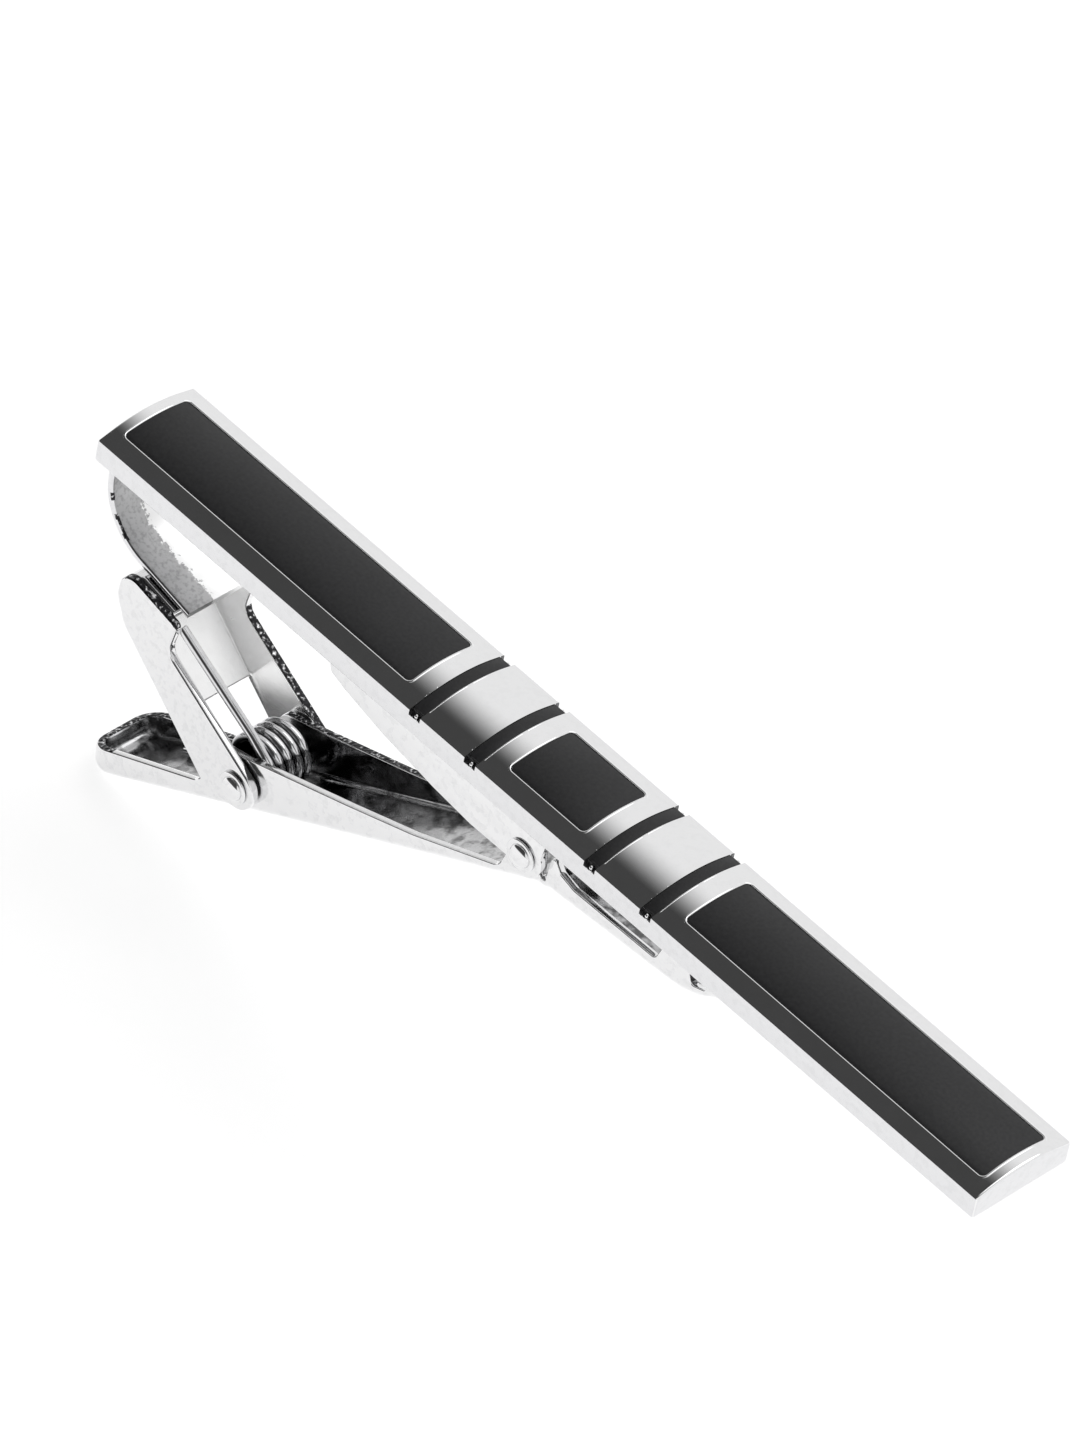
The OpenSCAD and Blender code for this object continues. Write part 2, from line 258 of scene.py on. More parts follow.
def metal(name, tint, rough_low, rough_high, speckle, bump, grain_scale=2600.0, streak=0.0):
    """Plated metal: roughness clouds, fine speckle in the plating and a faint orange-peel bump."""
    mat, tree, bsdf = principled(name)
    links = tree.links
    coord = node(tree, "ShaderNodeTexCoord")
    clouds = node(tree, "ShaderNodeTexNoise", Scale=420.0, Detail=5.0, Roughness=0.6)
    links.new(coord.outputs["Object"], clouds.inputs["Vector"])
    grain = node(tree, "ShaderNodeTexNoise", Scale=grain_scale, Detail=3.0, Roughness=0.55)
    links.new(coord.outputs["Object"], grain.inputs["Vector"])
    links.new(ramp(tree, clouds.outputs["Fac"], 0.35, 0.7, rough_low, rough_high), bsdf.inputs["Roughness"])
    shade = node(tree, "ShaderNodeMix", data_type="RGBA")
    shade.inputs["A"].default_value = (*[c * (1 - speckle) for c in tint], 1)
    shade.inputs["B"].default_value = (*tint, 1)
    links.new(ramp(tree, grain.outputs["Fac"], 0.36, 0.52, 0, 1), shade.inputs["Factor"])
    links.new(shade.outputs["Result"], bsdf.inputs["Base Color"])
    bsdf.inputs["Metallic"].default_value = 1.0
    peel = node(tree, "ShaderNodeBump", Strength=bump, Distance=0.00002)
    links.new(clouds.outputs["Fac"], peel.inputs["Height"])
    last = peel
    if streak:
        stretch = node(tree, "ShaderNodeMapping")
        stretch.inputs["Scale"].default_value = (60.0, 2400.0, 2400.0)
        links.new(coord.outputs["Object"], stretch.inputs["Vector"])
        lines = node(tree, "ShaderNodeTexNoise", Scale=1.0, Detail=4.0)
        links.new(stretch.outputs["Vector"], lines.inputs["Vector"])
        last = node(tree, "ShaderNodeBump", Strength=streak, Distance=0.00001)
        links.new(lines.outputs["Fac"], last.inputs["Height"])
        links.new(peel.outputs["Normal"], last.inputs["Normal"])
    links.new(last.outputs["Normal"], bsdf.inputs["Normal"])
    return mat


def sheared(name):
    """Cut edge of plated sheet: torn, pitted and darker than the faces."""
    mat, tree, bsdf = principled(name)
    links = tree.links
    coord = node(tree, "ShaderNodeTexCoord")
    tear = node(tree, "ShaderNodeTexVoronoi", Scale=4200.0, feature="F1")
    links.new(coord.outputs["Object"], tear.inputs["Vector"])
    grit = node(tree, "ShaderNodeTexNoise", Scale=5200.0, Detail=4.0)
    links.new(coord.outputs["Object"], grit.inputs["Vector"])
    shade = node(tree, "ShaderNodeMix", data_type="RGBA")
    shade.inputs["A"].default_value = (0.03, 0.03, 0.032, 1)
    shade.inputs["B"].default_value = (0.66, 0.66, 0.67, 1)
    links.new(ramp(tree, grit.outputs["Fac"], 0.54, 0.66, 0, 1), shade.inputs["Factor"])
    links.new(shade.outputs["Result"], bsdf.inputs["Base Color"])
    bsdf.inputs["Metallic"].default_value = 1.0
    links.new(ramp(tree, grit.outputs["Fac"], 0.4, 0.65, 0.42, 0.16), bsdf.inputs["Roughness"])
    rough = node(tree, "ShaderNodeBump", Strength=0.9, Distance=0.00006)
    links.new(tear.outputs["Distance"], rough.inputs["Height"])
    links.new(rough.outputs["Normal"], bsdf.inputs["Normal"])
    return mat


def enamel_material(name):
    """Hard enamel: near black, semi-gloss, with fine grain and a slow unevenness of the polish."""
    mat, tree, bsdf = principled(name)
    links = tree.links
    coord = node(tree, "ShaderNodeTexCoord")
    fine = node(tree, "ShaderNodeTexNoise", Scale=5200.0, Detail=3.0)
    slow = node(tree, "ShaderNodeTexNoise", Scale=260.0, Detail=3.0)
    for texture in (fine, slow):
        links.new(coord.outputs["Object"], texture.inputs["Vector"])
    shade = node(tree, "ShaderNodeMix", data_type="RGBA")
    shade.inputs["A"].default_value = (0.020, 0.020, 0.0215, 1)
    shade.inputs["B"].default_value = (0.030, 0.030, 0.0315, 1)
    links.new(ramp(tree, fine.outputs["Fac"], 0.3, 0.7, 0, 1), shade.inputs["Factor"])
    links.new(shade.outputs["Result"], bsdf.inputs["Base Color"])
    bsdf.inputs["Specular IOR Level"].default_value = 0.3
    links.new(ramp(tree, slow.outputs["Fac"], 0.3, 0.7, 0.36, 0.46), bsdf.inputs["Roughness"])
    peel = node(tree, "ShaderNodeBump", Strength=0.25, Distance=0.00001)
    links.new(fine.outputs["Fac"], peel.inputs["Height"])
    links.new(peel.outputs["Normal"], bsdf.inputs["Normal"])
    return mat


M_BAR = metal("polished_plating", (0.90, 0.90, 0.905), 0.05, 0.10, 0.02, 0.05, streak=0.03)
# Painted shade on the bar's sides and ends and the tongue's near side: a darker tint, with rougher plating
M_SIDE_SHADE = metal("side_plating_painted_shade", (0.77, 0.77, 0.78), 0.10, 0.18, 0.04, 0.06)
# Painted shade in the stripe notches: a dark tint, with rough plating
M_NOTCH_SHADE = metal("notch_painted_shade", (0.16, 0.16, 0.165), 0.3, 0.5, 0.6, 0.5, grain_scale=5200.0)
M_CLASP = metal("clasp_plating", (0.83, 0.83, 0.835), 0.06, 0.16, 0.07, 0.18)
M_BRACE = metal("brace_plating", (0.82, 0.82, 0.825), 0.06, 0.16, 0.07, 0.18)
# Painted light on the brace's inner faces: a paler tint than outside, so that they read white
M_BRACE_IN_LIT = metal("brace_inside_painted_light", (0.98, 0.98, 0.98), 0.20, 0.28, 0.02, 0.1)
# Painted shade in the lever's trough: a darker tint, with rougher, more speckled plating
M_TROUGH_SHADE = metal("trough_painted_shade", (0.46, 0.46, 0.465), 0.08, 0.30, 0.75, 0.9, grain_scale=1300.0)
M_WIRE = metal("spring_wire", (0.72, 0.72, 0.73), 0.05, 0.12, 0.08, 0.10, streak=0.10)


def paint_shade(mat, value, low, high, darkest):
    """Multiplies the base colour by a ramp over a value: painted shade where the ramp is low."""
    tree = mat.node_tree
    bsdf = tree.nodes["Principled BSDF"]
    plain_colour = bsdf.inputs["Base Color"].links[0].from_socket
    painted_shade = node(tree, "ShaderNodeMix", data_type="RGBA", blend_type="MULTIPLY")
    painted_shade.inputs["Factor"].default_value = 1.0
    tree.links.new(plain_colour, painted_shade.inputs["A"])
    tree.links.new(ramp(tree, value, low, high, darkest, 1.0), painted_shade.inputs["B"])
    tree.links.new(painted_shade.outputs["Result"], bsdf.inputs["Base Color"])


def crevices(mat, centre, low, high, darkest):
    """Darkens a coil with painted shade towards its axis, where its turns meet."""
    tree = mat.node_tree
    coord = node(tree, "ShaderNodeTexCoord")
    flat = node(tree, "ShaderNodeVectorMath", operation="MULTIPLY")
    flat.inputs[1].default_value = (1.0, 0.0, 1.0)
    tree.links.new(coord.outputs["Object"], flat.inputs[0])
    away = node(tree, "ShaderNodeVectorMath", operation="DISTANCE")
    away.inputs[1].default_value = (centre[0] * MM, 0.0, centre[1] * MM)
    tree.links.new(flat.outputs["Vector"], away.inputs[0])
    paint_shade(mat, away.outputs["Value"], low * MM, high * MM, darkest)


# Painted shade on the spring wire, between its turns near the coil's axis
crevices(M_WIRE, COIL_CENTRE, 1.46, 1.62, 0.03)
M_EDGE = sheared("sheared_edge")
# Painted reflection on the tongue's inner face: a grey tint with a satin finish
M_SATIN_REFLECTION = metal("bent_plating_painted_reflection", (0.46, 0.46, 0.465), 0.30, 0.5, 0.25, 0.5, grain_scale=5200.0)


def painted_reflection_patch(mat, edge_y, spread, bright):
    """Leaves the mat finish, greyed with a painted reflection, on one side of a ragged line along X; beyond
    it the plating is bright.
    """
    tree = mat.node_tree
    bsdf = tree.nodes["Principled BSDF"]
    coord = node(tree, "ShaderNodeTexCoord")
    axes = node(tree, "ShaderNodeSeparateXYZ")
    tree.links.new(coord.outputs["Object"], axes.inputs["Vector"])
    ragged = node(tree, "ShaderNodeTexNoise", Scale=2600.0, Detail=5.0, Roughness=0.75)
    tree.links.new(coord.outputs["Object"], ragged.inputs["Vector"])
    line = node(tree, "ShaderNodeMath", operation="MULTIPLY_ADD")
    line.inputs[1].default_value = spread * MM
    tree.links.new(ragged.outputs["Fac"], line.inputs[0])
    tree.links.new(axes.outputs["Y"], line.inputs[2])
    plain_colour = bsdf.inputs["Base Color"].links[0].from_socket
    pick = node(tree, "ShaderNodeMix", data_type="RGBA")
    low = (edge_y + spread / 2) * MM
    tree.links.new(ramp(tree, line.outputs["Value"], low, low + 0.06 * MM, 0.0, 1.0), pick.inputs["Factor"])
    tree.links.new(plain_colour, pick.inputs["A"])
    pick.inputs["B"].default_value = (*bright, 1)
    tree.links.new(pick.outputs["Result"], bsdf.inputs["Base Color"])


# Painted reflection: grey on the tongue's inner face up to a ragged line, bright plating beyond it
painted_reflection_patch(M_SATIN_REFLECTION, -0.35, 1.5, (0.93, 0.93, 0.93))
M_ENAMEL = enamel_material("dark_enamel")

# ---------------------------------------------------------------- mesh helpers


def shade(piece, angle):
    """Smooth shading, with edges sharper than the angle kept crisp."""
    mesh = piece.data
    mesh.polygons.foreach_set("use_smooth", [True] * len(mesh.polygons))
    mesh.set_sharp_from_angle(angle=math.radians(angle))
    mesh.update()


def blank(name, verts, faces):
    """A scratch object in millimetres, for boolean work."""
    mesh = bpy.data.meshes.new(name)
    mesh.from_pydata([tuple(map(float, v)) for v in verts], [], faces)
    bm = bmesh.new()
    bm.from_mesh(mesh)
    bmesh.ops.remove_doubles(bm, verts=bm.verts, dist=1e-5)
    bmesh.ops.recalc_face_normals(bm, faces=bm.faces)
    if bm.calc_volume(signed=True) < 0:
        bmesh.ops.reverse_faces(bm, faces=bm.faces)
    bm.to_mesh(mesh)
    bm.free()
    made = bpy.data.objects.new(name, mesh)
    bpy.context.scene.collection.objects.link(made)
    return made


def apply_modifiers(target):
    bpy.context.view_layer.update()
    graph = bpy.context.evaluated_depsgraph_get()
    mesh = bpy.data.meshes.new_from_object(target.evaluated_get(graph))
    target.modifiers.clear()
    target.data = mesh


def combine(target, operation, *others):
    """Exact boolean of target with each other object, which is used up."""
    for other in others:
        mod = target.modifiers.new("cut", "BOOLEAN")
        mod.operation = operation
        mod.solver = "EXACT"
        mod.object = other
        apply_modifiers(target)
        bpy.data.objects.remove(other)
    return target


def tidy(target, angle=0.3):
    """Merges flat neighbouring faces so that edges can be bevelled cleanly."""
    bm = bmesh.new()
    bm.from_mesh(target.data)
    bmesh.ops.remove_doubles(bm, verts=bm.verts, dist=1e-4)
    bmesh.ops.dissolve_limit(
        bm, angle_limit=math.radians(angle), verts=bm.verts, edges=bm.edges, delimit={"MATERIAL"}
    )
    bm.to_mesh(target.data)
    bm.free()


def split_at(target, y):
    """Splits the faces that cross the plane at y, so that each side can have its own material."""
    cut = bmesh.new()
    cut.from_mesh(target.data)
    parts = cut.verts[:] + cut.edges[:] + cut.faces[:]
    bmesh.ops.bisect_plane(cut, geom=parts, plane_co=(0, y, 0), plane_no=(0, 1, 0))
    cut.to_mesh(target.data)
    cut.free()


def bevel(target, width, segments=3, angle=40):
    mod = target.modifiers.new("bevel", "BEVEL")
    mod.width = width
    mod.segments = segments
    mod.limit_method = "ANGLE"
    mod.angle_limit = math.radians(angle)
    mod.use_clamp_overlap = True
    apply_modifiers(target)


def ring_mesh(rings, closed=False):
    """Verts and faces of a tube through rings of equal length. Open tubes get flat ends."""
    n = len(rings[0])
    verts = [v for ring in rings for v in ring]
    faces = []
    count = len(rings)
    for i in range(count if closed else count - 1):
        a, b = i * n, ((i + 1) % count) * n
        faces += [(a + k, a + (k + 1) % n, b + (k + 1) % n, b + k) for k in range(n)]
    if not closed:
        faces += [tuple(range(n - 1, -1, -1)), tuple((count - 1) * n + k for k in range(n))]
    return verts, faces


def slab(name, outline, y0, y1):
    """Side view outline [(x, z)] spread along Y."""
    rings = [[(p[0], y, p[1]) for p in outline] for y in (y0, y1)]
    return blank(name, *ring_mesh(rings))


def disc(centre, r, n=40):
    return [
        (centre[0] + r * math.cos(2 * math.pi * k / n), centre[1] + r * math.sin(2 * math.pi * k / n))
        for k in range(n)
    ]


def bore(pivot, r):
    return slab("bore", disc(pivot, r), -CUT_Y, CUT_Y)


def finish_piece(target, name, body, replaced, materials, smooth_angle=32.0, pick=None):
    """Turns a scratch object into a piece, in metres. pick(centre, normal) gives a face's material."""
    target.name = name
    target.data.name = name
    target.data.transform(Matrix.Scale(MM, 4))
    target.data.materials.clear()
    for material in materials:
        target.data.materials.append(material)
    for poly in target.data.polygons:
        poly.material_index = pick(poly.center / MM, poly.normal) if pick else 0
    shade(target, smooth_angle)
    if body:
        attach(target, body)
    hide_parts(*replaced)
    return target


# ---------------------------------------------------------------- bar and enamel


def arch_z(y):
    return BAR_H - ARCH_R + math.sqrt(ARCH_R**2 - y * y)


def half_section(inset):
    """Right half of the bar's section from the back to the crest, moved inwards by inset."""
    crease_z = arch_z(CREASE_Y)
    corners = [
        (BAR_W / 2, 0.0, BACK_EDGE_R),
        (BAR_W / 2, crease_z - (BAR_W / 2 - CREASE_Y) * FLANK_SLOPE, SHOULDER_R),
        (CREASE_Y, crease_z, 0), (0.0, crease_z, 0), (0.0, 0.0, 0),
    ]
    side = [tuple(p) for p in rounded(corners, 5) if p[0] > CREASE_Y + 0.01]
    top = [(y, arch_z(y)) for y in np.linspace(CREASE_Y, 0.0, 26)]
    return [(max(y - inset * min(1, y / 0.5), 0), z + inset * (1 if z < 0.3 else -1)) for y, z in side + top]


bar_rings = []
for k in range(6):
    a = math.radians(18 * k)
    bar_rings.append((-BAR_L / 2 + END_R * (1 - math.cos(a)), END_R * (1 - math.sin(a))))
bar_rings += [(-x, inset) for x, inset in reversed(bar_rings)]
bar_verts = []
for x, inset in bar_rings:
    half = half_section(inset)
    ring = [(x, y, z) for y, z in half] + [(x, -y, z) for y, z in reversed(half[:-1])]
    bar_verts.append(ring)
bar = blank("bar_body", *ring_mesh(bar_verts))


def plan_rect(x, length, width, r, n=8):
    pts = []
    for cx, cy, a0 in ((1, 1, 0), (-1, 1, 90), (-1, -1, 180), (1, -1, 270)):
        for k in range(n + 1):
            a = math.radians(a0 + 90 * k / n)
            pts.append((x + cx * (length / 2 - r) + r * math.cos(a), cy * (width / 2 - r) + r * math.sin(a)))
    return pts


def prism(name, outline, z0, z1):
    return blank(name, *ring_mesh([[(x, y, z) for x, y in outline] for z in (z0, z1)]))


def rect(x, half_w, y0, y1):
    return [(x - half_w, y0), (x + half_w, y0), (x + half_w, y1), (x - half_w, y1)]


def bead(outline, r):
    """A fine raised wire of metal on the arch, along a closed outline in plan."""
    rings = []
    count = len(outline)
    dense = []
    for i in range(count):
        a, b = np.array(outline[i]), np.array(outline[(i + 1) % count])
        steps = max(1, int(abs(b[1] - a[1]) / 0.25))
        dense += [a + (b - a) * k / steps for k in range(steps)]
    for i in range(len(dense)):
        before, here, after = dense[i - 1], dense[i], dense[(i + 1) % len(dense)]
        along = (after - before) / np.linalg.norm(after - before)
        side = np.array([along[1], -along[0]])
        z = arch_z(here[1])
        tilt = -here[1] / math.sqrt(ARCH_R**2 - here[1] ** 2)
        ring = []
        for k in range(BEAD_SIDES):
            a = 2 * math.pi * k / BEAD_SIDES
            p = here + side * r * math.cos(a)
            ring.append((p[0], p[1], z - BEAD_SINK + tilt * (p[1] - here[1]) + BEAD_H * math.sin(a)))
        rings.append(ring)
    return blank("bead", *ring_mesh(rings, closed=True))


grains = np.random.default_rng(4)


def side_of(sign):
    """Offset from a stripe's middle to the fine metal line beside it."""
    return sign * (STRIPE_W / 2 + 0.02 + TRIM_R)


def trim(x, y0, y1, r, ragged):
    """A short raised line across the bar; ragged breaks it into uneven grains."""
    rings = []
    steps = int(abs(y1 - y0) / 0.06)
    for i in range(steps + 1):
        y = y0 + (y1 - y0) * i / steps
        grow = 1 - ragged * grains.random() if 0 < i < steps else 0.3
        z = arch_z(min(abs(y), CREASE_Y)) - max(0, abs(y) - CREASE_Y) * FLANK_SLOPE - 0.02
        rings.append([
            (x + r * grow * math.cos(a), y, z + (r - 0.012) * grow * math.sin(a))
            for a in np.linspace(0, 2 * math.pi, TRIM_SIDES, endpoint=False)
        ])
    return blank("trim", *ring_mesh(rings))


def pip(centre, r):
    """Small round drop of metal."""
    rings = []
    for k in range(1, 8):
        a = math.pi * k / 8
        rings.append([
            (
                centre[0] + r * math.sin(a) * math.cos(b),
                centre[1] + r * math.sin(a) * math.sin(b),
                centre[2] + r * math.cos(a),
            )
            for b in np.linspace(0, 2 * math.pi, TRIM_SIDES, endpoint=False)
        ])
    return blank("pip", *ring_mesh(rings))


cuts, beads = [], []
for panel_x, panel_l in PANELS.values():
    pocket = plan_rect(
        panel_x, panel_l + 2 * ENAMEL_GAP, PANEL_W + 2 * ENAMEL_GAP, PANEL_CORNER_R + ENAMEL_GAP
    )
    cuts.append(prism("pocket", pocket, POCKET_Z, CUT_Z))
    frame_line = plan_rect(
        panel_x, panel_l + 2 * BEAD_OUT, PANEL_W + 2 * BEAD_OUT, PANEL_CORNER_R + BEAD_OUT
    )
    beads.append(bead(frame_line, BEAD_R))
groove_half_w = STRIPE_W / 2 + ENAMEL_GAP
for stripe_x in STRIPES.values():
    cuts.append(prism("pocket", rect(stripe_x, groove_half_w, -CUT_Y, CUT_Y), POCKET_Z, CUT_Z))
for stripe_x in STRIPES.values():
    for side in (-1, 1):
        y0, y1 = sorted((side * (STRIPE_HALF_L + 0.02), side * CUT_Y))
        cuts.append(prism("notch", rect(stripe_x, groove_half_w, y0, y1), NOTCH_Z, CUT_Z))
        drop = (stripe_x + PIP_SHIFT_X, side * (BAR_W / 2 - PIP_IN_Y), NOTCH_Z + PIP_LIFT)
        beads.append(pip(drop, PIP_R))
        beads.append(trim(stripe_x + side_of(1), side * 2.6, side * 0.1, TRIM_R, 0.0))
    beads.append(trim(stripe_x + side_of(-1), -2.6, -0.9, TRIM_R, 0.75))
for cut in cuts:
    combine(bar, "DIFFERENCE", cut)
combine(bar, "UNION", *beads)


def bar_looks(c, n):
    """Painted shade inside the notches, except on their drops; rougher sides and ends, darkened with painted
    shade; polish elsewhere.
    """
    in_groove = any(abs(c.x - x) < STRIPE_W / 2 + 0.02 for x in STRIPES.values())
    in_notch = in_groove and abs(c.y) > STRIPE_HALF_L
    drop = any(
        (c.x - x - PIP_SHIFT_X) ** 2 + (abs(c.y) - BAR_W / 2 + PIP_IN_Y) ** 2
        + (c.z - NOTCH_Z - PIP_LIFT) ** 2 < (1.1 * PIP_R) ** 2
        for x in STRIPES.values()
    )
    if in_notch and c.z > NOTCH_Z - 0.01 and not drop:
        return 2
    return 1 if abs(c.y) > BAR_W / 2 - 0.03 or abs(c.x) > BAR_L / 2 - 0.03 else 0


finish_piece(bar, "bar_body", "bar", ["bar"], [M_BAR, M_SIDE_SHADE, M_NOTCH_SHADE], pick=bar_looks)


def arch_normals(piece):
    """True normals of the arch and flanks on their faces, so that reflections run smooth."""
    mesh = piece.data
    normals = [(0.0, 0.0, 0.0)] * len(mesh.loops)
    for poly in mesh.polygons:
        y, z = poly.center.y / MM, poly.center.z / MM
        on_arch = abs(y) <= CREASE_Y
        true = Vector((0, math.copysign(FLANK_SLOPE, y), 1))
        if on_arch:
            true = Vector((0, y, z - BAR_H + ARCH_R))
        if z < 1.2 or poly.normal.dot(true.normalized()) < 0.9985:
            continue
        for i in poly.loop_indices:
            co = mesh.vertices[mesh.loops[i].vertex_index].co
            here = Vector((0, co.y / MM, co.z / MM - BAR_H + ARCH_R)) if on_arch else true
            normals[i] = here.normalized()
    mesh.normals_split_custom_set(normals)


arch_normals(bar)


def enamel_block(half_w, sink, reach=None):
    """Section of an enamel fill; a reach carries it on down the flanks."""
    crown = [(half_w * i / 16, arch_z(half_w * i / 16) - sink) for i in range(-16, 17)]
    if reach:
        end_z = arch_z(half_w) - sink - (reach - half_w) * FLANK_SLOPE
        crown = [(-reach, end_z)] + crown + [(reach, end_z)]
    return [(crown[-1][0], POCKET_Z + 0.001), (crown[0][0], POCKET_Z + 0.001)] + crown


def bar_along(section, x, length):
    """Section [(y, z)] spread along the bar, about x."""
    ends = (x - length / 2, x + length / 2)
    return blank("fill", *ring_mesh([[(end, y, z) for y, z in section] for end in ends]))


for label, (panel_x, panel_l) in PANELS.items():
    block = bar_along(enamel_block(PANEL_W / 2, PANEL_SINK), panel_x, panel_l)
    plan = plan_rect(panel_x, panel_l, PANEL_W, PANEL_CORNER_R)
    combine(block, "INTERSECT", prism("outline", plan, 1, CUT_Z))
    bevel(block, 0.03, 3, 40)
    finish_piece(block, "fill_panel_" + label, "bar", ["enamel_panel_" + label], [M_ENAMEL])
for label, stripe_x in STRIPES.items():
    block = bar_along(enamel_block(CREASE_Y, STRIPE_SINK, STRIPE_HALF_L), stripe_x, STRIPE_W)
    bevel(block, 0.03, 3, 40)
    finish_piece(block, "fill_stripe_" + label, "bar", ["enamel_stripe_" + label], [M_ENAMEL])

# ---------------------------------------------------------------- lever


def profile(points):
    """Height against x of a side-view polyline, as a function."""
    xs = np.array([p[0] for p in points])
    zs = np.array([p[1] for p in points])
    order = np.argsort(xs, kind="stable")
    return lambda x: float(np.interp(x, xs[order], zs[order]))


bottom_line = profile(LEVER_UNDERSIDE)
rim_points = rounded(LEVER_RIM, 8)
rim_xs = sorted({round(float(p[0]), 4) for p in rim_points})
rim_line = profile(list(reversed(rim_points)))


def lever_rim_z(x):
    z = rim_line(x)
    dx = x - MAIN_PIVOT[0]
    if abs(dx) < LUG_R:
        z = max(z, MAIN_PIVOT[1] + math.sqrt(LUG_R**2 - dx * dx))
    return z


def lever_loop(stations, inset):
    """Near half of the plan outline from thumb end to jaw end, moved inwards by inset: (x, y)."""
    half = LEVER_HALF_W - inset
    pts = []
    ends = (
        (-1, THUMB_X + THUMB_CORNER_R, THUMB_CORNER_R),
        (1, JAW_X - JAW_CORNER_R, JAW_CORNER_R),
    )
    for end, centre_x, r in ends:
        corner_y = LEVER_HALF_W - r
        arc = []
        for k in range(13):
            a = math.radians(90 * k / 12)
            rr = max(r - inset, 0.02)
            shift = min(0.0, r - inset - 0.02)
            arc.append((centre_x + end * (rr * math.cos(a) + shift), -(corner_y + shift) - rr * math.sin(a)))
        if end < 0:
            pts += arc
            pts += [(x, -half) for x in stations]
        else:
            pts += arc[::-1]
    return pts


lever_stations = sorted(
    {round(x, 3) for x in np.arange(THUMB_X + THUMB_CORNER_R + 0.1, JAW_X - JAW_CORNER_R - 0.05, 0.3)}
    | {x for x in rim_xs if THUMB_X + THUMB_CORNER_R + 0.02 < x < JAW_X - JAW_CORNER_R - 0.02}
    | {round(MAIN_PIVOT[0] + LUG_R * math.cos(math.radians(a)), 4) for a in range(6, 180, 12)}
)
thin = [lever_stations[0]]
for x in lever_stations[1:]:
    if x - thin[-1] > 0.012:
        thin.append(x)
lever_stations = thin


def lever_layer(inset, height):
    """One layer: plan inset and a function (rim, bottom) -> z."""
    return [(x, y, height(lever_rim_z(x), bottom_line(x))) for x, y in lever_loop(lever_stations, inset)]


def inner_bend(rim, bot):
    return max(0.03, min(INNER_BEND, rim - bot - FLOOR_T - EDGE_R - 0.04))


def outer_bend(rim, bot):
    return max(0.1, min(OUTER_BEND, rim - bot - EDGE_R - 0.06))


layers = []
for k in range(6, -1, -1):  # inner floor up round the inner bend
    a = math.radians(15 * k)
    layers.append(lever_layer(
        SHEET + INNER_BEND * (1 - math.cos(a)),
        lambda rim, bot, a=a: bot + FLOOR_T + inner_bend(rim, bot) * (1 - math.sin(a)),
    ))
layers.append(lever_layer(SHEET, lambda rim, bot: (bot + FLOOR_T + inner_bend(rim, bot) + rim - EDGE_R) / 2))
for k in range(4):
    a = math.radians(30 * k)
    layers.append(lever_layer(
        SHEET - EDGE_R * (1 - math.cos(a)), lambda rim, bot, a=a: rim - EDGE_R * (1 - math.sin(a))
    ))
for k in range(3, -1, -1):
    a = math.radians(30 * k)
    layers.append(lever_layer(
        EDGE_R * (1 - math.cos(a)), lambda rim, bot, a=a: rim - EDGE_R * (1 - math.sin(a))
    ))
layers.append(lever_layer(0.0, lambda rim, bot: (rim - EDGE_R + bot + outer_bend(rim, bot)) / 2))
for k in range(9):
    a = math.radians(90 * k / 8)
    layers.append(lever_layer(
        OUTER_BEND * (1 - math.cos(a)), lambda rim, bot, a=a: bot + outer_bend(rim, bot) * (1 - math.sin(a))
    ))

n_side = len(layers[0])
verts, faces = [], []
for layer in layers:
    verts += layer
    verts += [(x, -y, z) for x, y, z in layer]
span = 2 * n_side
for j in range(len(layers) - 1):
    a, b = j * span, (j + 1) * span
    for i in range(n_side - 1):
        faces.append((a + i, a + i + 1, b + i + 1, b + i))
        faces.append((a + n_side + i + 1, a + n_side + i, b + n_side + i, b + n_side + i + 1))
    for end in (0, n_side - 1):  # across the blunt ends
        faces.append((a + end, b + end, b + n_side + end, a + n_side + end))
for base, flip in ((0, False), ((len(layers) - 1) * span, True)):
    for i in range(n_side - 1):
        quad = (base + i, base + i + 1, base + n_side + i + 1, base + n_side + i)
        faces.append(quad[::-1] if flip else quad)
lever = blank("lever_body", verts, faces)
combine(lever, "DIFFERENCE", bore(MAIN_PIVOT, MAIN_PIN_R + PIN_GAP))
combine(lever, "DIFFERENCE", bore(BRACE_PIVOT, BRACE_PIN_R + PIN_FIT))


def lever_looks(c, n):
    """Sheared metal on the rims that show, the trough inside dull and darkened with painted shade, plating
    elsewhere.
    """
    on_rim = n.z > 0.75 and c.z > lever_rim_z(c.x) - 0.12
    if on_rim and c.x < -2.5 and (c.y > 1.5 or c.x < -25.5):
        return 1
    on_floor = abs(c.y) < 1.25 and n.z > 0.2
    on_inner_wall = c.y * n.y < 0 and abs(c.y) < 1.8
    inside = c.z < lever_rim_z(c.x) - EDGE_R and (on_floor or on_inner_wall)
    return 2 if inside else 0


finish_piece(
    lever, "lever_body", "lever", ["clasp_lever"],
    [M_CLASP, M_EDGE, M_TROUGH_SHADE], pick=lever_looks,
)

# ---------------------------------------------------------------- brace


brace = slab("brace_body", rounded(BRACE_OUTLINE, 10), -BRACE_OUT_Y, BRACE_OUT_Y)
combine(brace, "DIFFERENCE", slab("hollow", rounded(BRACE_HOLLOW, 10), -PLATE_IN_Y, PLATE_IN_Y))
combine(brace, "DIFFERENCE", bore(BRACE_PIVOT, BRACE_PIN_R + PIN_GAP))
tidy(brace)
bevel(brace, BRACE_EDGE_R, 4, 40)
for y in (-PLATE_IN_Y, PLATE_IN_Y):
    split_at(brace, y)


